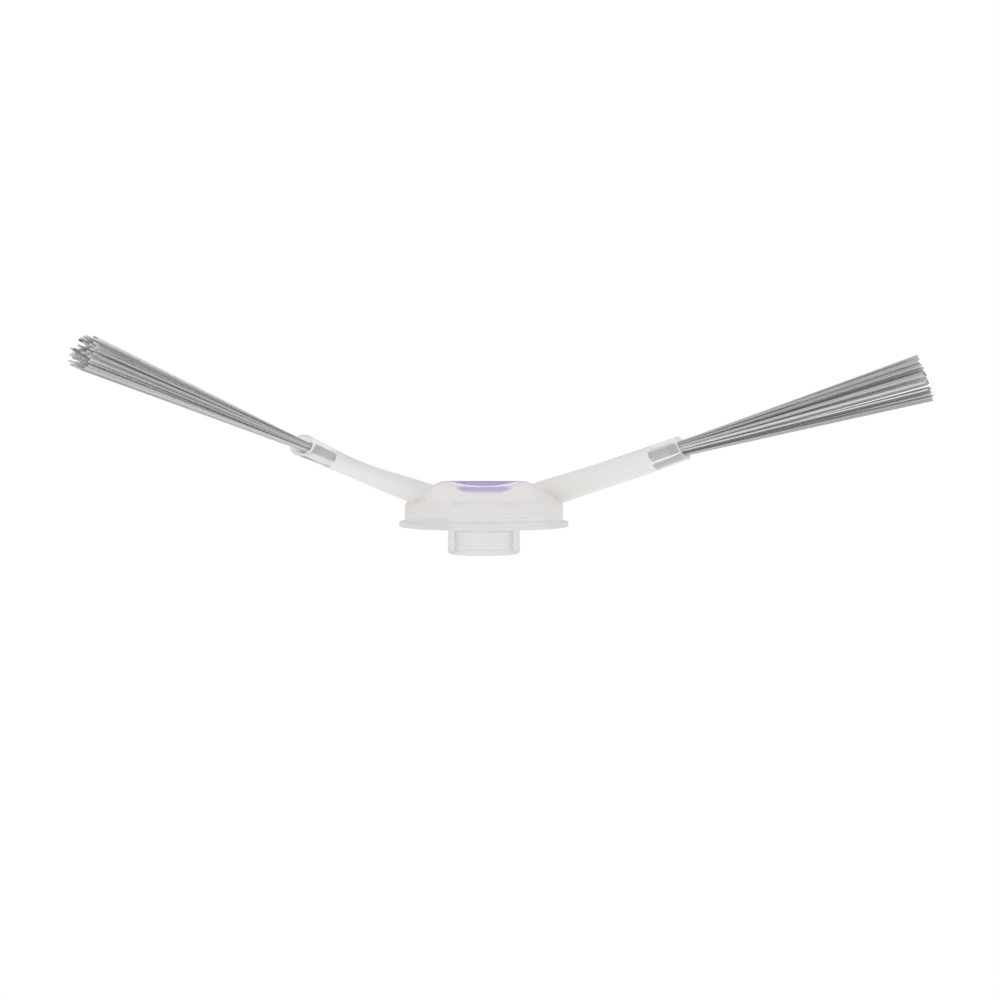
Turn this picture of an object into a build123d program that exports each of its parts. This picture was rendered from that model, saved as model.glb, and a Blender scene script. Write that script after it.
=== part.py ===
from build123d import *
import os
import random
from math import ceil, cos, hypot, radians, sin, sqrt, tan

# Two-arm side brush of a robot vacuum cleaner, standing on its drive boss with the arms rising.
# Millimetres, +Z up along the spin axis, origin at the centre of the boss's lower end.
# The arms leave the hub to both sides and sweep towards -Y, mirrored in the YZ plane.

# Clear drive core: boss below the hub, locking collar and crown inside it
boss_radius = 7.2
boss_height = 5.4
boss_edge_radius = 0.35
collar_lift = 1.0
collar_radius = 8.8
collar_height = 2.0
crown_radius = 6.0
crown_height = 1.8
bore_radius = 5.9
bore_depth = 4.4
key_across = 5.4
key_corner_radius = 0.8
key_depth = 4.4

# Soft hub, turned about Z
hub_radius = 15.75
wall_height = 4.4
dome_height = 4.6
dome_radius = 17.5
rim_radius = 8.1
shoulder_radius = 1.2
flange_thickness = 1.0
flange_fillet = 0.45
flange_land = 0.57
flange_chamfer = 0.08
relief_depth = 1.0
relief_wall = 1.6

# Purple cap, a dished disc in the top of the hub
cap_radius = 7.8
cap_depth = 2.8
cap_edge = 0.35
dish_depth = 1.25

# Soft arms: headings are degrees in plan from the X axis towards -Y, rise is degrees above level
arm_root_angle = 10.3
arm_root_drop = 1.55
arm_start_heading = 18.5
arm_end_heading = 43.8
arm_bend_radius = 41.0
arm_rise = 17.9
arm_embed = 8.0
arm_fillet = 0.4
left_arm_roll = -6.0
right_arm_roll = 27.0
root_width = 8.2
root_thickness = 4.5
middle_width = 8.1
middle_thickness = 3.55

# Oval sleeve at the end of each arm, with the socket of the tuft
sleeve_length = 6.4
sleeve_width = 7.3
sleeve_thickness = 3.4
mouth_width = 6.15
mouth_thickness = 3.95
mouth_wall = 0.45
flare_length = 2.2
socket_depth = 7.8

# Tuft: straight filaments fused into a root plug
plug_width = 5.1
plug_thickness = 2.2
plug_length = 6.2
plug_rim = 0.25
filament_diameter = 0.29
filament_sides = 6
filament_pitch = 0.295
filament_grid_turn = 11.0
filament_embed = 0.6
length_scatter = 0.25
column_scatter = 0.2
row_scatter = 0.32
left_filament_length = 42.9
left_rise_angle = 16.0
left_tip_width = 8.0
left_tip_thickness = 5.05
right_filament_length = 44.1
right_rise_angle = 14.6
right_tip_width = 10.0
right_tip_thickness = 6.6

# Gap round a seated piece
fit_clearance = 0.05

hub_base_z = boss_height
wall_top_z = hub_base_z + wall_height
hub_top_z = wall_top_z + dome_height
flange_radius = hub_radius + flange_fillet + flange_land + flange_chamfer
collar_base_z = hub_base_z + collar_lift
collar_top_z = collar_base_z + collar_height
crown_top_z = collar_top_z + crown_height
bundle_half_width = (plug_width - filament_diameter) / 2 - plug_rim
bundle_half_thickness = (plug_thickness - filament_diameter) / 2 - plug_rim
column_step = filament_pitch / bundle_half_width
row_step = filament_pitch * sqrt(3) / 2 / bundle_half_thickness


def turned(outline):
    """Solid of revolution about Z from a closed outline in the XZ plane."""
    return revolve(Plane.XZ * make_face(outline), Axis.Z)


def core_outline(gap):
    """Half section of the drive core, grown sideways by a gap."""
    return Polyline(
        (0, 0),
        (boss_radius + gap, 0),
        (boss_radius + gap, collar_base_z),
        (collar_radius + gap, collar_base_z),
        (collar_radius + gap, collar_top_z),
        (crown_radius + gap, collar_top_z),
        (crown_radius + gap, crown_top_z),
        (0, crown_top_z),
        close=True,
    )


def make_core():
    core = turned(core_outline(0))
    foot_edges = core.edges().filter_by(GeomType.CIRCLE).group_by(Axis.Z)[0]
    core = fillet(foot_edges, boss_edge_radius)
    core -= Cylinder(bore_radius, bore_depth, align=(Align.CENTER, Align.CENTER, Align.MIN))
    key = RectangleRounded(key_across, key_across, key_corner_radius)
    return core - extrude(Plane.XY.offset(bore_depth) * key, key_depth)


def cap_outline(gap):
    """Half section of the dished cap; with a gap it is the pocket that takes the cap, open at the top."""
    radius = cap_radius + gap
    low = hub_top_z - cap_depth - gap
    edge_low = hub_top_z - cap_edge - gap
    half_chord = sqrt(radius**2 + (edge_low - low) ** 2) / 2
    bowl_radius = half_chord**2 * 2 / (edge_low - low)
    bowl = RadiusArc((0, low), (radius, edge_low), -bowl_radius)
    if gap > 0:
        lid_z = hub_top_z + cap_depth
        return bowl + Polyline((radius, edge_low), (radius, lid_z), (0, lid_z), (0, low))
    dish_low = hub_top_z - dish_depth
    dish_radius = (radius**2 + dish_depth**2) / (2 * dish_depth)
    dish = RadiusArc((radius, hub_top_z), (0, dish_low), dish_radius)
    return bowl + Line((radius, edge_low), (radius, hub_top_z)) + dish + Line((0, dish_low), (0, low))


def make_hub():
    """Round hub with a thin flange at its foot, before the arms are joined to it."""
    flange_top_z = hub_base_z + flange_thickness
    sides = Polyline(
        (0, hub_top_z),
        (0, hub_base_z),
        (flange_radius, hub_base_z),
        (flange_radius, flange_top_z),
        (hub_radius, flange_top_z),
        (hub_radius, wall_top_z),
    )
    dome = RadiusArc((hub_radius, wall_top_z), (rim_radius, hub_top_z), -dome_radius)
    section = make_face(sides + dome + Line((rim_radius, hub_top_z), (0, hub_top_z)))

    def corner(radius, height):
        return section.vertices().sort_by_distance((radius, height, 0))[0]

    section = fillet(corner(hub_radius, wall_top_z), shoulder_radius)
    section = fillet(corner(hub_radius, flange_top_z), flange_fillet)
    flange_corners = [corner(flange_radius, hub_base_z), corner(flange_radius, flange_top_z)]
    section = chamfer(flange_corners, flange_chamfer)
    return revolve(Plane.XZ * section, Axis.Z)


def make_relief():
    """Shallow ring sunk into the underside, between the flange's rim and the lip round the core."""
    ring = Circle(hub_radius - relief_wall) - Circle(collar_radius + relief_wall)
    return extrude(Plane.XY.offset(hub_base_z) * ring, relief_depth)


def arm_plane(side, distance, roll, rise=arm_rise):
    """Section plane at a plan distance from the hub wall: X across the arm, Z along it; side is -1 or 1."""
    start = radians(arm_start_heading)
    end = radians(arm_end_heading)
    bend_length = arm_bend_radius * (end - start)
    heading = start + (end - start) * min(max(distance / bend_length, 0), 1)
    straight = distance - min(max(distance, 0), bend_length)
    root = radians(arm_root_angle)
    x = hub_radius * cos(root) + arm_bend_radius * (sin(heading) - sin(start)) + straight * cos(heading)
    y = -hub_radius * sin(root) + arm_bend_radius * (cos(heading) - cos(start)) - straight * sin(heading)
    z = hub_top_z - arm_root_drop + distance * tan(radians(arm_rise))
    slope = radians(rise)
    along = Vector(side * cos(heading) * cos(slope), -sin(heading) * cos(slope), sin(slope))
    level = Vector(-side * sin(heading), -cos(heading), 0)
    upward = Vector(-side * cos(heading) * sin(slope), sin(heading) * sin(slope), cos(slope))
    across = level * cos(radians(roll)) + upward * sin(radians(roll))
    return Plane(origin=(side * x, y, z), x_dir=across, z_dir=along)


def sleeve_ends():
    """Plan distances of the start of the sleeve and of its mouth."""
    bend_length = arm_bend_radius * radians(arm_end_heading - arm_start_heading)
    return bend_length, bend_length + sleeve_length * cos(radians(arm_rise))


def oval(width, thickness):
    return Ellipse(width / 2, thickness / 2)


def make_arm(side, roll):
    sleeve_start, mouth = sleeve_ends()
    stations = (
        (-arm_embed, root_width, root_thickness),
        (0, root_width, root_thickness),
        (sleeve_start / 2, middle_width, middle_thickness),
        (sleeve_start, sleeve_width, sleeve_thickness),
        (mouth, mouth_width, mouth_thickness),
    )
    return loft([arm_plane(side, d, roll) * oval(w, t) for d, w, t in stations])


def make_socket(side, roll):
    """Room for the tuft: an oval pocket that flares towards the mouth."""
    mouth_plane = arm_plane(side, sleeve_ends()[1], roll)
    pocket_width = plug_width + 2 * fit_clearance
    pocket_thickness = plug_thickness + 2 * fit_clearance
    pocket = extrude(mouth_plane.offset(-socket_depth) * oval(pocket_width, pocket_thickness), socket_depth)
    throat = mouth_plane.offset(-flare_length) * oval(pocket_width, pocket_thickness)
    lip = mouth_plane * oval(mouth_width - 2 * mouth_wall, mouth_thickness - 2 * mouth_wall)
    return pocket + loft([throat, lip]) + extrude(lip, flare_length)


def filament_grid():
    """Root places of the filaments as shares of the bundle's half width and half thickness.

    They are a close-packed grid, turned a little, inside the oval.
    """
    turn = radians(filament_grid_turn)
    count = ceil(plug_width / filament_pitch)
    for row in range(-count, count + 1):
        for column in range(-count, count + 1):
            along = (column + row % 2 / 2) * filament_pitch
            aside = row * filament_pitch * sqrt(3) / 2
            u = (along * cos(turn) - aside * sin(turn)) / bundle_half_width
            v = (along * sin(turn) + aside * cos(turn)) / bundle_half_thickness
            if u**2 + v**2 <= 1:
                yield u, v


def make_tuft(node, side, roll, filament_length, rise, tip_width, tip_thickness):
    """Root plug with one straight filament for each place of the grid, fanned towards the tips."""
    mouth = sleeve_ends()[1]
    socket_floor = arm_plane(side, mouth, roll).offset(-socket_depth)
    plug_front = socket_floor.offset(plug_length)
    fan = arm_plane(side, mouth, roll, rise)
    reach = fan.z_dir * filament_length
    plug = extrude(socket_floor * oval(plug_width, plug_thickness), plug_length)
    scatter = random.Random(node)
    filaments = []
    for u, v in filament_grid():
        root_across = plug_front.x_dir * u * bundle_half_width
        root = plug_front.origin + root_across + plug_front.y_dir * v * bundle_half_thickness
        tip_u = u + scatter.uniform(-column_scatter, column_scatter) * column_step
        tip_v = v + scatter.uniform(-row_scatter, row_scatter) * row_step
        spread = fan.x_dir * tip_u * tip_width / 2 + fan.y_dir * tip_v * tip_thickness / 2
        tip = plug_front.origin + reach + spread / max(hypot(tip_u, tip_v), 1)
        line = (tip - root).normalized()
        length = filament_length + scatter.uniform(-length_scatter, length_scatter)
        foot = Plane(origin=root - line * filament_embed, z_dir=line)
        strand = foot * RegularPolygon(filament_diameter / 2, filament_sides)
        filaments.append(extrude(strand, length + filament_embed))
    return plug.fuse(*filaments)


left_fan = (left_filament_length, left_rise_angle, left_tip_width, left_tip_thickness)
right_fan = (right_filament_length, right_rise_angle, right_tip_width, right_tip_thickness)
sides = (("left_tuft", -1, left_arm_roll, left_fan), ("right_tuft", 1, right_arm_roll, right_fan))

parts = {"drive_core": make_core(), "centre_cap": turned(cap_outline(0))}
body = make_hub()
for node, side, roll, fan in sides:
    arm = make_arm(side, roll)
    joined = body + arm
    body = fillet(new_edges(body, arm, combined=joined), arm_fillet)
    body -= make_socket(side, roll)
    parts[node] = make_tuft(node, side, roll, *fan)
body -= make_relief()
body -= turned(core_outline(fit_clearance))
parts["soft_body"] = body - turned(cap_outline(fit_clearance))

os.makedirs("parts", exist_ok=True)
for node, shape in parts.items():
    export_step(shape, f"parts/{node}.step")
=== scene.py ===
import bmesh
import bpy
import math
import random
from mathutils import Matrix, Vector


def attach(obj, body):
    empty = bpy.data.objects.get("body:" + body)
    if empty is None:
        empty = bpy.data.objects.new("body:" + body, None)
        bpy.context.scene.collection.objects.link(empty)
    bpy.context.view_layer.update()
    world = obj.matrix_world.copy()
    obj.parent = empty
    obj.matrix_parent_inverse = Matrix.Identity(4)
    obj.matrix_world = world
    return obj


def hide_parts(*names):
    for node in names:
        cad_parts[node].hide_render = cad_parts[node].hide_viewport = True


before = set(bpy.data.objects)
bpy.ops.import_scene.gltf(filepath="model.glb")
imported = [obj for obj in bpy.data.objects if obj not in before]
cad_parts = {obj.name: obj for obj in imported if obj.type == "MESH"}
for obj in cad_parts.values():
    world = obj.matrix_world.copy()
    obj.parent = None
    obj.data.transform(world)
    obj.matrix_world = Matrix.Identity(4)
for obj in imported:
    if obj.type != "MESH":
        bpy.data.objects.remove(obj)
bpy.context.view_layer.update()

# Camera: level, a little to the left of the brush and a hand's length away.
# It stands at the height of the hub's top, so that the hub shows no upper face.
camera_place = Vector((-0.0324, -0.1692, 0.0146))
camera_turn = math.radians(-10.85)
camera_data = bpy.data.cameras.new("photo_camera")
camera_data.sensor_width = 36.0
camera_data.lens = 31.0
camera_data.shift_x = 0.016
camera_data.shift_y = -0.020
camera_data.clip_start = 0.005
camera = bpy.data.objects.new("photo_camera", camera_data)
camera.location = camera_place
camera.rotation_euler = (math.radians(90), 0, camera_turn)
bpy.context.scene.collection.objects.link(camera)
bpy.context.scene.camera = camera

# Studio: a sheet of white paper in a pale room, with one large soft lamp above the left shoulder.
# Paper and room show pure white behind the brush, and light it with a calmer grey.
paper_size = 6.0
paper_drop = 0.00005
paper_bounce = 0.30
paper_grey = 0.8
paper_roughness = 0.9
room_level = 0.80
room_back_loss = 0.04
room_side_loss = 0.20
white = (1, 1, 1, 1)
lamp_place = Vector((-0.22, -0.30, 0.46))
lamp_width = 0.30
lamp_watts = 0.15
bpy.context.scene.view_settings.view_transform = "Standard"


def new_material(name):
    """Material with its nodes, its links and its main shader."""
    material = bpy.data.materials.new(name)
    material.use_nodes = True
    tree = material.node_tree
    return material, tree.nodes, tree.links, tree.nodes["Principled BSDF"]


def calc(operation, *values):
    """Math node of the material in work, fed by sockets or plain numbers."""
    node = nodes.new("ShaderNodeMath")
    node.operation = operation
    for number, value in enumerate(values):
        if isinstance(value, bpy.types.NodeSocket):
            links.new(value, node.inputs[number])
        else:
            node.inputs[number].default_value = value
    return node.outputs[0]


def split(vector):
    """X, Y and Z of a vector socket."""
    node = nodes.new("ShaderNodeSeparateXYZ")
    links.new(vector, node.inputs[0])
    return list(node.outputs)


bpy.ops.object.select_all(action="DESELECT")
bpy.ops.mesh.primitive_plane_add(size=paper_size, location=(0, 0, -paper_drop))
floor = bpy.context.object
floor.name = "paper_floor"
bpy.ops.object.transform_apply(location=True, rotation=True, scale=True)
paper, nodes, links, shader = new_material("white_paper")
shader.inputs["Specular IOR Level"].default_value = 0.0
shader.inputs["Roughness"].default_value = paper_roughness
shader.inputs["Emission Color"].default_value = white
seen = nodes.new("ShaderNodeLightPath").outputs["Is Camera Ray"]
links.new(calc("MAXIMUM", seen, paper_bounce), shader.inputs["Emission Strength"])
links.new(calc("MULTIPLY_ADD", seen, -paper_grey, paper_grey), shader.inputs["Base Color"])
floor.data.materials.append(paper)
room = bpy.data.worlds.new("pale_room")
bpy.context.scene.world = room
room.use_nodes = True
nodes = room.node_tree.nodes
links = room.node_tree.links
backdrop = nodes["Background"]
backdrop.inputs["Color"].default_value = white
x, y = split(nodes.new("ShaderNodeTexCoord").outputs["Generated"])[:2]
level = calc("MULTIPLY_ADD", y, -room_back_loss, room_level)
level = calc("MULTIPLY_ADD", calc("ABSOLUTE", x), -room_side_loss, level)
seen = nodes.new("ShaderNodeLightPath").outputs["Is Camera Ray"]
links.new(calc("MAXIMUM", seen, level), backdrop.inputs["Strength"])
lamp_data = bpy.data.lights.new("soft_lamp", "AREA")
lamp_data.size = lamp_width
lamp_data.energy = lamp_watts
lamp = bpy.data.objects.new("soft_lamp", lamp_data)
lamp.location = lamp_place
lamp.rotation_euler = lamp_place.to_track_quat("Z", "Y").to_euler()
bpy.context.scene.collection.objects.link(lamp)

# Soft body: hub and arms moulded in one piece from a milky, see-through elastomer.
# It is cloudy where it is thick, and clear round the cap and in the thin sleeves that grip the tufts.
# Where a clear wall lets one look in, the cloudy walls get a painted glow (emission) in place of the light
# that scatters in them, and the clear films get painted emission tones in place of their lighting.
soft_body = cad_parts["soft_body"]
arm_heading = math.radians(43.8)
arm_rise = math.radians(17.9)

# Sleeves: side, heading and rise in degrees of the cut where the wall turns clear, and how far out it is
sleeve_cuts = ((-1, 15.0, 10.0, 0.0351), (1, 45.0, 1.0, 0.0310))
sleeve_blend = 0.0002

# Sleeve walls: height across the arm, tone and strength of the film. The tones are painted light: pale bands
# of painted reflection, a white painted highlight streak on the right sleeve, and the grey of the tuft
# painted as it looks refracted through the wall
band_low = 0.006
band_high = 0.010
left_sheen_bands = (
    (0.00640, 0.55, 0.70), (0.00665, 0.74, 0.70), (0.00700, 0.78, 0.70), (0.00715, 0.75, 0.14),
    (0.00855, 0.75, 0.14), (0.00875, 0.80, 0.75), (0.00930, 0.74, 0.75),
)
right_sheen_bands = (
    (0.00620, 0.58, 0.50), (0.00635, 0.44, 0.95), (0.00700, 0.44, 0.95), (0.00712, 0.60, 0.20),
    (0.00724, 0.95, 0.20), (0.00731, 0.97, 0.88), (0.00746, 0.97, 0.88), (0.00754, 0.75, 0.14),
    (0.00915, 0.75, 0.14), (0.00945, 0.70, 0.75),
)
inner_film = 0.14
thin_film = 0.30
film_edge_power = 3.0
film_roughness = 0.12

# Painted shade: a dark band along the lower edge of the left sleeve
lower_shade_taper = 0.032
lower_shade_starts_at = 0.00783
lower_shade_ends_at = 0.00773
lower_shade_film = 0.90
lower_shade_tone = (0.08, 0.08, 0.08, 1)

# Throat, lip and rim of the sleeves' mouths; the near side of the rim carries a painted highlight
throat_starts_at = 0.0388
throat_ends_at = 0.0392
throat_film = 0.75
throat_tone = (0.45, 0.445, 0.445, 1)
lip_starts_at = 0.0410
lip_ends_at = 0.0412
lip_film = 0.45
lip_tone = (0.60, 0.60, 0.59, 1)
rim_facing = 0.9
rim_film = 0.75
rim_highlight_tone = (0.93, 0.93, 0.92, 1)
rim_near = -0.0187
rim_far = -0.0172

# Clear window in the dome and clear foot of the hub
dome_clears_from = 0.0088
dome_clears_to = 0.0120
dome_clarity = 0.76
window_turn = math.radians(10.85)
window_reach = 0.0080
window_fades = 0.0125
foot_clears_from = 0.0086
foot_clears_to = 0.0070
foot_clarity = 0.20
# Colours of the painted glow, darker at the foot
foot_glow_tone = (0.665, 0.65, 0.64, 1)
inner_glow_tone = (0.73, 0.712, 0.70, 1)
haze_ends = 0.35
glow_full = 0.80
glow_edge_power = 5.0

# Painted highlight and painted shade lines on the foot's front, where the edges of the core's collar show
# through: height and tone
collar_low = 0.0054
collar_high = 0.0080
collar_sheen_lines = (
    (0.00560, 0.70), (0.00577, 0.74), (0.00600, 0.69), (0.00625, 0.69), (0.00645, 0.76), (0.00664, 0.70),
    (0.00674, 0.62), (0.00686, 0.71), (0.00715, 0.71), (0.00734, 0.77), (0.00752, 0.72),
)
collar_reach = 0.0080
collar_fades = 0.0100

# Walls against the core and the cap, which don't show as faces of their own
seat_radius = 0.0089
seat_edge = 0.0092
seat_foot = 0.0056
seat_top = 0.0104
pocket_radius = 0.0080
pocket_edge = 0.0082
pocket_foot = 0.0110
seat_clarity = 0.97

# Colour, scatter and satin skin of the elastomer
milky_colour = (0.86, 0.85, 0.835, 1)
cloud_colour = (0.83, 0.82, 0.80, 1)
thin_colour = (0.91, 0.91, 0.895, 1)
dark_colour = (0, 0, 0, 1)
cloud_scale = 180.0
scatter_fades_from = 0.0250
scatter_fades_to = 0.0330
scatter_tint = (1.0, 0.97, 0.93)
scatter_depth = 0.004
elastomer_ior = 1.45
satin_scale = 2600.0
satin_detail = 1.0
satin_depth = 0.00002
satin_strength = 0.06
satin_roughness = 0.42
milky, nodes, links, shader = new_material("milky_elastomer")


def product(first, *others):
    """Product of sockets and numbers."""
    for other in others:
        first = calc("MULTIPLY", first, other)
    return first


def ramp(value, low, high, at_low=0.0, at_high=1.0):
    """Smooth step of a socket from one value to another."""
    node = nodes.new("ShaderNodeMapRange")
    node.interpolation_type = "SMOOTHSTEP"
    links.new(value, node.inputs["Value"])
    node.inputs["From Min"].default_value = low
    node.inputs["From Max"].default_value = high
    node.inputs["To Min"].default_value = at_low
    node.inputs["To Max"].default_value = at_high
    return node.outputs["Result"]


def edge_on(power):
    """Share of a wall that is seen edge-on, where a clear wall looks dense."""
    turned = nodes.new("ShaderNodeLayerWeight")
    turned.inputs["Blend"].default_value = 0.5
    return calc("POWER", turned.outputs["Facing"], power)


def blend(share, first, second):
    """Colour between two colours or colour sockets by a share."""
    node = nodes.new("ShaderNodeMix")
    node.data_type = "RGBA"
    links.new(share, node.inputs["Factor"])
    for number, colour in ((6, first), (7, second)):
        if isinstance(colour, bpy.types.NodeSocket):
            links.new(colour, node.inputs[number])
        else:
            node.inputs[number].default_value = colour
    return node.outputs[2]


def noise(scale, detail=2.0):
    """Grey clouds of a given scale on the piece's own coordinates."""
    node = nodes.new("ShaderNodeTexNoise")
    node.inputs["Scale"].default_value = scale
    node.inputs["Detail"].default_value = detail
    links.new(nodes.new("ShaderNodeTexCoord").outputs["Object"], node.inputs["Vector"])
    return node.outputs["Fac"]


def point_of_piece():
    """X, Y, Z and distance from the spin axis of a point of the piece."""
    x, y, z = split(nodes.new("ShaderNodeTexCoord").outputs["Object"])
    return x, y, z, calc("SQRT", calc("MULTIPLY_ADD", x, x, calc("MULTIPLY", y, y)))


def beside_window(x, y):
    """Distance of a point to the side of the window's middle."""
    aside = calc("MULTIPLY_ADD", y, -math.sin(window_turn), calc("MULTIPLY", x, math.cos(window_turn)))
    return calc("ABSOLUTE", aside)


def along(vector, heading, rise):
    """Length of a vector along an arm's direction, which mirrors on the other side."""
    x, y, z = vector
    reach = calc("MULTIPLY", calc("ABSOLUTE", x), math.cos(heading) * math.cos(rise))
    reach = calc("MULTIPLY_ADD", y, -math.sin(heading) * math.cos(rise), reach)
    return calc("MULTIPLY_ADD", z, math.sin(rise), reach)


def bands(height, low, high, stops):
    """Tone and film strength of a wall by height, from stops of height, tone and strength."""
    node = nodes.new("ShaderNodeValToRGB")
    links.new(calc("DIVIDE", calc("SUBTRACT", height, low), high - low), node.inputs["Fac"])
    elements = node.color_ramp.elements
    elements.remove(elements[1])
    for number, (stop, tone, strength) in enumerate(stops):
        share = (stop - low) / (high - low)
        element = elements.new(share) if number else elements[0]
        element.position = share
        element.color = (tone, tone, tone, strength)
    return node.outputs


def lay_over(mask, colour, strength):
    """Tone and film of the sleeves with one more tone and film laid over them by a mask."""
    return blend(mask, tone, colour), calc("MAXIMUM", film, calc("MULTIPLY", mask, strength))


x, y, z, radius = point_of_piece()
across = calc("ABSOLUTE", x)
right = calc("GREATER_THAN", x, 0.0)
left = calc("SUBTRACT", 1.0, right)
geometry = nodes.new("ShaderNodeNewGeometry")
inside = geometry.outputs["Backfacing"]
outside = calc("SUBTRACT", 1.0, inside)
normal = split(geometry.outputs["True Normal"])
height = along((x, y, z), arm_heading, arm_rise + math.pi / 2)
ahead = along((x, y, z), arm_heading, arm_rise)
sleeve = 0.0
for side, heading, rise, start in sleeve_cuts:
    cut = along((x, y, z), math.radians(heading), math.radians(rise))
    on_side = calc("GREATER_THAN", calc("MULTIPLY", x, side), 0.0)
    sleeve = calc("MULTIPLY_ADD", ramp(cut, start, start + sleeve_blend), on_side, sleeve)
# Painted highlights and painted reflections of the sleeve walls, by height across the arm
left_sheen_tone, left_film = bands(height, band_low, band_high, left_sheen_bands)
right_sheen_tone, right_film = bands(height, band_low, band_high, right_sheen_bands)
# Painted highlight and painted shade lines of the collar's edges
collar_sheen_tone = bands(z, collar_low, collar_high, [(stop, tone, 1.0) for stop, tone in collar_sheen_lines])[0]
collar = calc("MULTIPLY", ramp(across, collar_fades, collar_reach), calc("LESS_THAN", z, collar_high))
foot = ramp(z, foot_clears_from, foot_clears_to)
tone = blend(foot, inner_glow_tone, foot_glow_tone)
tone = blend(calc("MULTIPLY", collar, outside), tone, collar_sheen_tone)
tone = blend(calc("MULTIPLY", sleeve, outside), tone, blend(right, left_sheen_tone, right_sheen_tone))
film = calc("MULTIPLY_ADD", right, calc("SUBTRACT", right_film, left_film), left_film)
film = calc("MULTIPLY_ADD", outside, calc("SUBTRACT", film, inner_film), inner_film)
# Painted shade along the left sleeve's lower edge
lower_shade = ramp(calc("MULTIPLY_ADD", ahead, lower_shade_taper, height), lower_shade_starts_at, lower_shade_ends_at)
tone, film = lay_over(product(lower_shade, left, sleeve, outside), lower_shade_tone, lower_shade_film)
throat = product(ramp(ahead, throat_starts_at, throat_ends_at), calc("LESS_THAN", film, thin_film))
tone, film = lay_over(product(throat, sleeve, outside), throat_tone, throat_film)
lip = calc("MULTIPLY", ramp(ahead, lip_starts_at, lip_ends_at), sleeve)
tone, film = lay_over(lip, lip_tone, lip_film)
rim = calc("GREATER_THAN", along(normal, arm_heading, arm_rise), rim_facing)
# Painted highlight on the near side of the mouth's rim
rim_highlight_colour = blend(ramp(y, rim_near, rim_far), rim_highlight_tone, lip_tone)
tone, film = lay_over(calc("MULTIPLY", lip, rim), rim_highlight_colour, rim_film)
film = calc("MAXIMUM", film, edge_on(film_edge_power))
window = ramp(beside_window(x, y), window_fades, window_reach)
dome = calc("MULTIPLY", ramp(z, dome_clears_from, dome_clears_to), window)
bare = calc("MULTIPLY", calc("MAXIMUM", dome, foot), outside)
skin = calc("MAXIMUM", calc("MULTIPLY", dome, dome_clarity), calc("MULTIPLY", foot, foot_clarity))
skin = calc("MULTIPLY", skin, outside)
clarity = calc("MAXIMUM", calc("MULTIPLY", sleeve, calc("SUBTRACT", 1.0, film)), skin)
seat = product(ramp(radius, seat_edge, seat_radius), calc("LESS_THAN", z, seat_top))
seat = product(seat, calc("GREATER_THAN", z, seat_foot))
pocket = product(ramp(radius, pocket_edge, pocket_radius), calc("GREATER_THAN", z, pocket_foot))
joined = calc("MULTIPLY_ADD", calc("MAXIMUM", seat, pocket), -seat_clarity, 1.0)
links.new(calc("MULTIPLY", calc("SUBTRACT", 1.0, clarity), joined), shader.inputs["Alpha"])
# Painted glow: emission stands in for the light scattered in the cloudy walls and for the lit tone of the
# clear films, and fades where a wall is seen edge-on
glow = calc("MAXIMUM", calc("MAXIMUM", inside, sleeve), ramp(bare, haze_ends, glow_full))
haze = product(ramp(ahead, scatter_fades_to, scatter_fades_from), ramp(bare, haze_ends, 0.0))
cloudy = blend(noise(cloud_scale), milky_colour, cloud_colour)
lit_colour = blend(haze, thin_colour, cloudy)
links.new(blend(glow, lit_colour, dark_colour), shader.inputs["Base Color"])
links.new(tone, shader.inputs["Emission Color"])
flat_on = calc("SUBTRACT", 1.0, edge_on(glow_edge_power))
links.new(calc("MULTIPLY", glow, flat_on), shader.inputs["Emission Strength"])
links.new(ramp(glow, 0.0, 1.0, satin_roughness, film_roughness), shader.inputs["Roughness"])
links.new(calc("MULTIPLY", haze, calc("SUBTRACT", 1.0, glow)), shader.inputs["Subsurface Weight"])
shader.inputs["Subsurface Radius"].default_value = scatter_tint
shader.inputs["Subsurface Scale"].default_value = scatter_depth
shader.inputs["IOR"].default_value = elastomer_ior
satin = nodes.new("ShaderNodeBump")
satin.inputs["Strength"].default_value = satin_strength
satin.inputs["Distance"].default_value = satin_depth
links.new(noise(satin_scale, satin_detail), satin.inputs["Height"])
links.new(satin.outputs["Normal"], shader.inputs["Normal"])
soft_body.data.materials.clear()
soft_body.data.materials.append(milky)

# Drive core: the boss of clear hard plastic that pushes onto the robot's spindle.
# It is moulded first, and the soft body is moulded round its collar.
drive_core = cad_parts["drive_core"]
clear_tint = (0.90, 0.885, 0.895, 1)
flow_tint = (0.86, 0.845, 0.86, 1)
flow_scale = 160.0
flow_low = 0.3
flow_high = 0.7
# Painted shade: the walls of the bore are coloured dark grey
bore_shade_tint = (0.40, 0.39, 0.40, 1)
bore_side = 0.0062
outer_side = 0.0066
bore_wall = 0.04
far_wall = 0.31
clear_edge = 0.7
clear_edge_power = 3.0
clear_polish = 0.06
clear_dullness = 0.14
clear_ior = 1.49

# Near wall: height and strength of the film
wall_top = 0.0060
wall_bands = (
    (0.0, 0.75), (0.00100, 0.75), (0.00112, 0.05), (0.00132, 0.05), (0.00145, 0.36), (0.00175, 0.31),
    (0.00530, 0.31), (0.00550, 0.08),
)
clear, nodes, links, shader = new_material("clear_plastic")
z, radius = point_of_piece()[2:]
near_wall = bands(z, 0.0, wall_top, [(stop, 1.0, strength) for stop, strength in wall_bands])[1]
inside = nodes.new("ShaderNodeNewGeometry").outputs["Backfacing"]
side_wall = calc("MULTIPLY_ADD", inside, calc("SUBTRACT", far_wall, near_wall), near_wall)
outer = ramp(radius, bore_side, outer_side)
wall = calc("MULTIPLY_ADD", outer, calc("SUBTRACT", side_wall, bore_wall), bore_wall)
links.new(calc("MULTIPLY_ADD", edge_on(clear_edge_power), clear_edge, wall), shader.inputs["Alpha"])
flow = noise(flow_scale)
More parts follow.
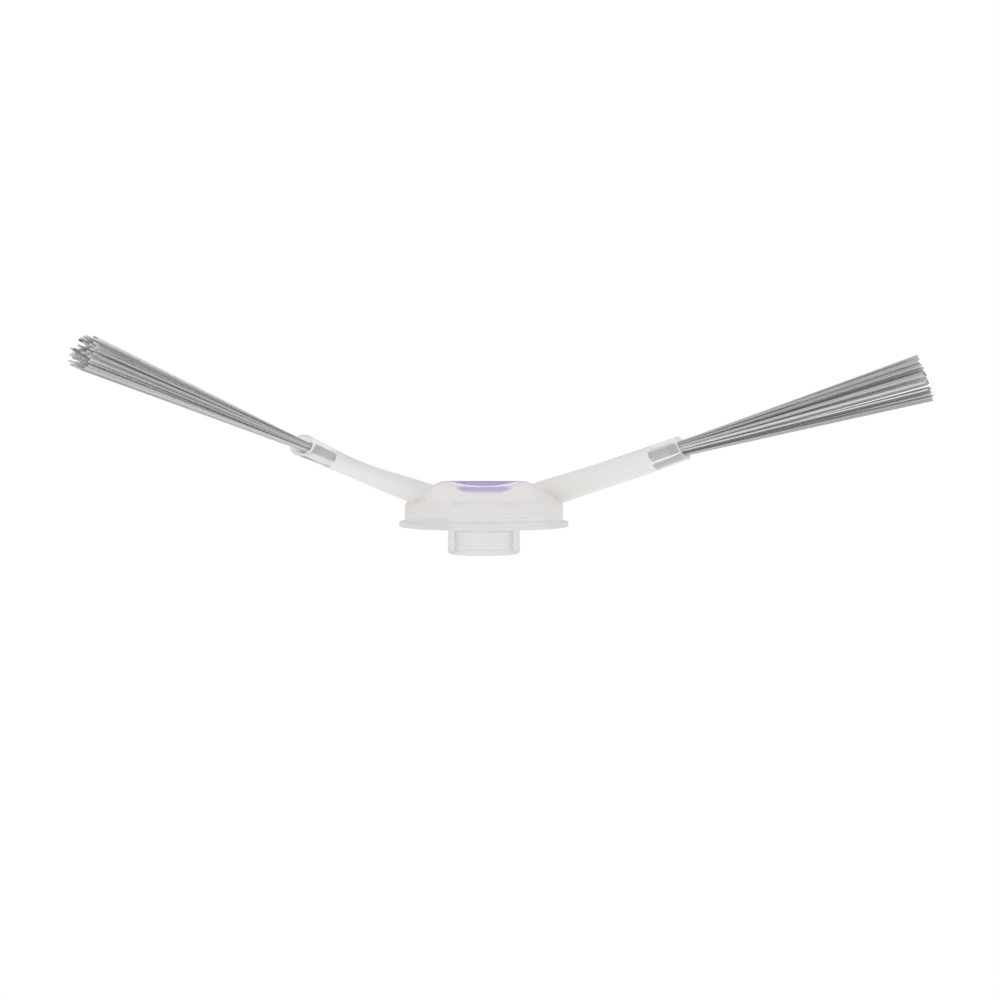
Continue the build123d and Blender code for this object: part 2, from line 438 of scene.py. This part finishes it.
links.new(blend(outer, bore_shade_tint, blend(flow, clear_tint, flow_tint)), shader.inputs["Base Color"])
links.new(ramp(flow, flow_low, flow_high, clear_polish, clear_dullness), shader.inputs["Roughness"])
shader.inputs["IOR"].default_value = clear_ior
drive_core.data.materials.clear()
drive_core.data.materials.append(clear)

# Centre cap: a dished disc of see-through purple plastic, pressed into the top of the hub.
# Its thin rim, the bottom of its dish and its rounded lower side show through the clear dome.
centre_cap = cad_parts["centre_cap"]
cap_radius = 0.0078
middle_low = 0.01238
middle_high = 0.01422
middle_blend = 0.0002
bowl_alpha = 0.06
bowl_gain = 0.42
bowl_top = 0.01345
bowl_full_from = 0.0131
bowl_full_to = 0.0128
bowl_low = 0.0118
bowl_reach = 0.0040
bowl_fades = 0.0062
dish_alpha = 0.60
purple_colour = (0.33, 0.16, 0.80, 1)
streak_colour = (0.37, 0.19, 0.83, 1)
streak_scale = 220.0
streak_low = 0.3
streak_high = 0.7
purple_polish = 0.2
purple_dullness = 0.3
# Painted highlight: a pale emission line where the dish is seen edge-on
gleam_starts = 0.83
gleam_ends = 0.92
gleam_alpha = 0.95
gleam_level = 0.92
gleam_colour = (0.88, 0.76, 1.0, 1)
purple, nodes, links, shader = new_material("purple_plastic")
x, y, z, radius = point_of_piece()
share = calc("POWER", calc("DIVIDE", radius, cap_radius), 2.0)
middle = calc("MULTIPLY_ADD", share, middle_high - middle_low, middle_low)
dish = ramp(calc("SUBTRACT", z, middle), -middle_blend, middle_blend)
# Painted highlight along the dish's edge-on rim
gleam = calc("MULTIPLY", ramp(edge_on(1.0), gleam_starts, gleam_ends), dish)
bowl = product(ramp(z, bowl_top, bowl_full_from), ramp(z, bowl_low, bowl_full_to))
bowl = product(bowl, ramp(beside_window(x, y), bowl_fades, bowl_reach))
bowl = calc("MULTIPLY_ADD", bowl, bowl_gain, bowl_alpha)
cover = calc("MULTIPLY_ADD", dish, calc("SUBTRACT", dish_alpha, bowl), bowl)
links.new(calc("MAXIMUM", cover, calc("MULTIPLY", gleam, gleam_alpha)), shader.inputs["Alpha"])
streaks = noise(streak_scale)
streaked = blend(streaks, purple_colour, streak_colour)
links.new(blend(gleam, streaked, dark_colour), shader.inputs["Base Color"])
links.new(ramp(streaks, streak_low, streak_high, purple_polish, purple_dullness), shader.inputs["Roughness"])
links.new(calc("MULTIPLY", gleam, gleam_level), shader.inputs["Emission Strength"])
shader.inputs["Emission Color"].default_value = gleam_colour
centre_cap.data.materials.clear()
centre_cap.data.materials.append(purple)

# Bristle tufts: straight nylon filaments, fused at the root into a plug that sits in the sleeve.
# Each filament follows one of the solid tuft, and no two have quite the same grey or bow.
filament_radius = 0.00016
filament_length = 0.0435
filament_sides = 8
filament_rings = 3
filament_round = 0.00007
filament_round_steps = 2
filament_smoothing = math.radians(50)
bow = 0.00012
tip_gain = -0.05
tip_setback = 0.00006
tip_scatter = 0.40
clump_width = 0.0007
clump_share = 0.72
clump_step = 0.618
plug_sides = 48
plug_back = 0.0035
plug_round = 0.0002
plug_round_steps = 4
plug_tone = 0.40
same_corner = 0.000001
tips_beyond = 0.055
dark_grey = (0.17, 0.167, 0.166, 1)
light_grey = (1.0, 0.995, 0.99, 1)
nylon_roughness = 0.36
nylon, nodes, links, shader = new_material("grey_nylon")
shader.inputs["Roughness"].default_value = nylon_roughness
shade = nodes.new("ShaderNodeAttribute")
shade.attribute_name = "shade"
greys = nodes.new("ShaderNodeValToRGB")
greys.color_ramp.elements[0].color = dark_grey
greys.color_ramp.elements[1].color = light_grey
links.new(shade.outputs["Fac"], greys.inputs["Fac"])
links.new(greys.outputs["Color"], shader.inputs["Base Color"])


def average(points):
    """Middle of a list of points."""
    return sum(points, Vector()) / len(points)


def filament_lines(node):
    """Root and tip of each filament of a solid tuft.

    Short edges join the corners of a tip, and long edges lead from them to the root.
    """
    solid = bmesh.new()
    solid.from_mesh(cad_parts[node].data)
    bmesh.ops.remove_doubles(solid, verts=solid.verts, dist=same_corner)
    known = set()
    lines = []
    for first in solid.verts:
        if first in known or first.co.length < tips_beyond:
            continue
        known.add(first)
        corners = [first]
        feet = []
        for corner in corners:
            for edge in corner.link_edges:
                other = edge.other_vert(corner)
                if other.co.length < tips_beyond:
                    feet.append(other.co.copy())
                elif other not in known:
                    known.add(other)
                    corners.append(other)
        lines.append((average(feet), average([corner.co for corner in corners])))
    solid.free()
    return lines


def select_edges(mesh, chosen):
    """Leaves only the edges selected whose two ends pass a test."""
    for element in (*mesh.polygons, *mesh.vertices):
        element.select = False
    for edge in mesh.edges:
        edge.select = chosen(*(mesh.vertices[i].co for i in edge.vertices))
    bpy.context.tool_settings.mesh_select_mode = (False, True, False)


def model_bristle():
    """One straight filament on the Z axis, with a rounded tip."""
    bpy.ops.object.select_all(action="DESELECT")
    middle = filament_length / 2
    bpy.ops.mesh.primitive_cylinder_add(
        vertices=filament_sides, radius=filament_radius, depth=filament_length, location=(0, 0, middle)
    )
    bristle = bpy.context.object
    bpy.ops.object.transform_apply(location=True, rotation=True, scale=True)
    select_edges(bristle.data, lambda a, b: min(a.z, b.z) < middle < max(a.z, b.z))
    bpy.ops.object.mode_set(mode="EDIT")
    bpy.ops.mesh.subdivide(number_cuts=filament_rings)
    bpy.ops.object.mode_set(mode="OBJECT")
    select_edges(bristle.data, lambda a, b: min(a.z, b.z) > filament_length - filament_round)
    bpy.ops.object.mode_set(mode="EDIT")
    bpy.ops.mesh.bevel(offset=filament_round, segments=filament_round_steps)
    bpy.ops.object.mode_set(mode="OBJECT")
    return bristle


def model_plug(node, side, front):
    """Oval root plug behind the centre of the filaments' roots, with a rounded back edge."""
    forward = Vector((side * math.cos(arm_heading), -math.sin(arm_heading), math.tan(arm_rise)))
    forward.normalize()
    corners = [vertex.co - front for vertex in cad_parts[node].data.vertices]
    back = [corner for corner in corners if corner.dot(forward) < -plug_back]
    middle = average(back)
    wide = max((corner - middle for corner in back), key=lambda reach: reach.length)
    thin = forward.cross(wide).normalized()
    half_thickness = max((corner - middle).dot(thin) for corner in back)
    length = -middle.dot(forward)
    bpy.ops.object.select_all(action="DESELECT")
    bpy.ops.mesh.primitive_cylinder_add(
        vertices=plug_sides, radius=1, depth=length, location=(0, 0, length / 2)
    )
    plug = bpy.context.object
    plug.scale = (wide.length, half_thickness, 1)
    bpy.ops.object.transform_apply(location=True, rotation=True, scale=True)
    select_edges(plug.data, lambda a, b: max(a.z, b.z) < length / 2)
    bpy.ops.object.mode_set(mode="EDIT")
    bpy.ops.mesh.bevel(offset=plug_round, segments=plug_round_steps)
    bpy.ops.object.mode_set(mode="OBJECT")
    turn = Matrix((wide.normalized(), thin, forward)).transposed().to_4x4()
    plug.data.transform(Matrix.Translation(front + middle) @ turn)
    return plug


def set_tone(strand, tones):
    """Greys of a strand's points."""
    layer = strand.data.attributes.new("shade", "FLOAT", "POINT")
    layer.data.foreach_set("value", tones)


bristle = model_bristle()
for side, node, first_tone in ((-1, "left_tuft", 0.35), (1, "right_tuft", 0.0)):
    draw = random.Random(node)
    lines = filament_lines(node)
    front = average([root for root, tip in lines])
    usual = sum((tip - root).length for root, tip in lines) / len(lines)
    plug = model_plug(node, side, front)
    set_tone(plug, [plug_tone] * len(plug.data.vertices))
    pieces = [plug]
    clumps = {}
    for root, tip in lines:
        line = tip - root
        strand = bristle.copy()
        strand.data = bristle.data.copy()
        heading = draw.uniform(0, math.tau)
        depth = draw.uniform(0, bow)
        clump = tuple(round(distance / clump_width) for distance in root - front)
        clump_tone = clumps.setdefault(clump, (first_tone + len(clumps) * clump_step) % 1)
        tone = clump_tone * clump_share + draw.random() * (1 - clump_share)
        tones = []
        for vertex in strand.data.vertices:
            share = vertex.co.z / filament_length
            lean = depth * math.sin(math.pi * share)
            vertex.co.x += lean * math.cos(heading)
            vertex.co.y += lean * math.sin(heading)
            tones.append(tone + tip_gain * share * share)
        turn = line.to_track_quat("Z", "Y").to_matrix().to_4x4()
        length = usual + (line.length - usual) * tip_scatter - tip_setback
        stretch = Matrix.Scale(length / filament_length, 4, (0, 0, 1))
        strand.data.transform(Matrix.Translation(root) @ turn @ stretch)
        set_tone(strand, tones)
        bpy.context.scene.collection.objects.link(strand)
        pieces.append(strand)
    bpy.ops.object.select_all(action="DESELECT")
    for piece in pieces:
        piece.select_set(True)
    bpy.context.view_layer.objects.active = plug
    bpy.ops.object.join()
    tuft = bpy.context.object
    tuft.name = node + "_bristles"
    bpy.ops.object.shade_smooth_by_angle(angle=filament_smoothing)
    tuft.data.materials.append(nylon)
    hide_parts(node)
    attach(tuft, "root")
bpy.data.objects.remove(bristle)
